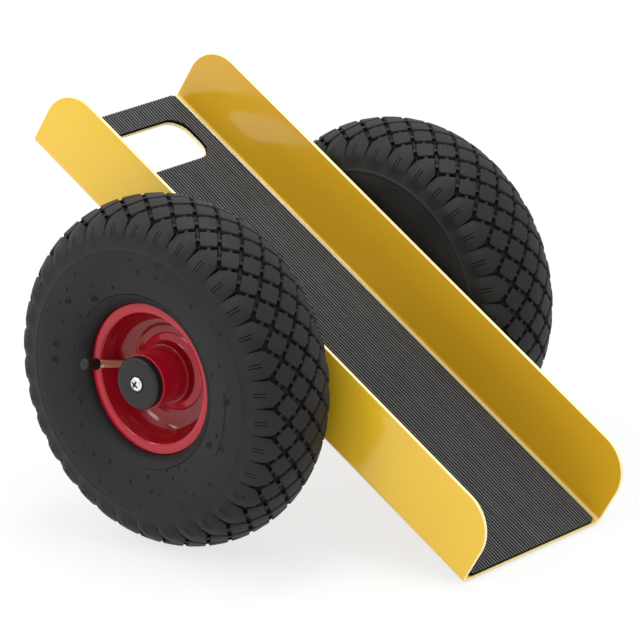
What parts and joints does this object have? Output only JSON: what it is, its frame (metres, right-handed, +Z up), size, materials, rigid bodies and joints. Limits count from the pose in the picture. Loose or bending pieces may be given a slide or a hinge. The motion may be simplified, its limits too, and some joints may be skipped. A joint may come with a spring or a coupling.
{
  "type": "panel dolly",
  "caption": "Sheet steel tray with a ribbed rubber mat and a hand hole, carried on an axle between air-filled wheels, for wheeling boards and panels about.",
  "frame": {"origin": "centre of the footprint, on the floor, with the part standing on both tyres and on the lower end of its tray", "axes": "+X across the tray, along the axle; +Y level, from the lower end of the tray towards its hand hole; +Z up"},
  "size_m": [0.366, 0.4303, 0.3062],
  "materials": {
    "yellow_powder_coat": "satin powder coat on steel sheet",
    "mat_rubber": "matt, ribbed lengthwise",
    "tyre_rubber": "matt moulded rubber",
    "butyl_rubber": "matt",
    "red_enamel": "gloss enamel on pressed steel",
    "zinc_plate": "bright zinc plate",
    "brass": "turned",
    "black_plastic": "fine moulded grain",
    "bearing_cage": "moulded nylon"
  },
  "bodies": {
    "dolly_frame": {"tray": "yellow_powder_coat", "ribbed_mat": "mat_rubber", "axle_tube": "yellow_powder_coat", "axle_bar": "zinc_plate", "upper_axle_weld": "yellow_powder_coat", "lower_axle_weld": "yellow_powder_coat", "left_inner_washer": "zinc_plate", "left_outer_washer": "zinc_plate", "left_end_cap": "black_plastic", "left_cap_screw": "zinc_plate", "right_inner_washer": "zinc_plate", "right_outer_washer": "zinc_plate", "right_end_cap": "black_plastic", "right_cap_screw": "zinc_plate"},
    "left_wheel": {"left_tyre": "tyre_rubber", "left_inner_tube": "butyl_rubber", "left_rim_outer_half": "red_enamel", "left_rim_inner_half": "red_enamel", "left_hub_tube": "red_enamel", "left_outer_bearing": "bearing_cage", "left_inner_bearing": "bearing_cage", "left_outer_seal": "butyl_rubber", "left_inner_seal": "butyl_rubber", "left_valve_stem": "brass", "left_valve_cap": "black_plastic"},
    "right_wheel": {"right_tyre": "tyre_rubber", "right_inner_tube": "butyl_rubber", "right_rim_outer_half": "red_enamel", "right_rim_inner_half": "red_enamel", "right_hub_tube": "red_enamel", "right_outer_bearing": "bearing_cage", "right_inner_bearing": "bearing_cage", "right_outer_seal": "butyl_rubber", "right_inner_seal": "butyl_rubber", "right_valve_stem": "brass", "right_valve_cap": "black_plastic"}
  },
  "joints": [
    {"name": "left_wheel_spin", "type": "hinge", "parent": "dolly_frame", "child": "left_wheel", "pos_m": [-0.1326, 0.03294, 0.132], "axis": [1, 0, 0], "continuous": true},
    {"name": "right_wheel_spin", "type": "hinge", "parent": "dolly_frame", "child": "right_wheel", "pos_m": [0.1326, 0.03294, 0.132], "axis": [1, 0, 0], "continuous": true}
  ]
}
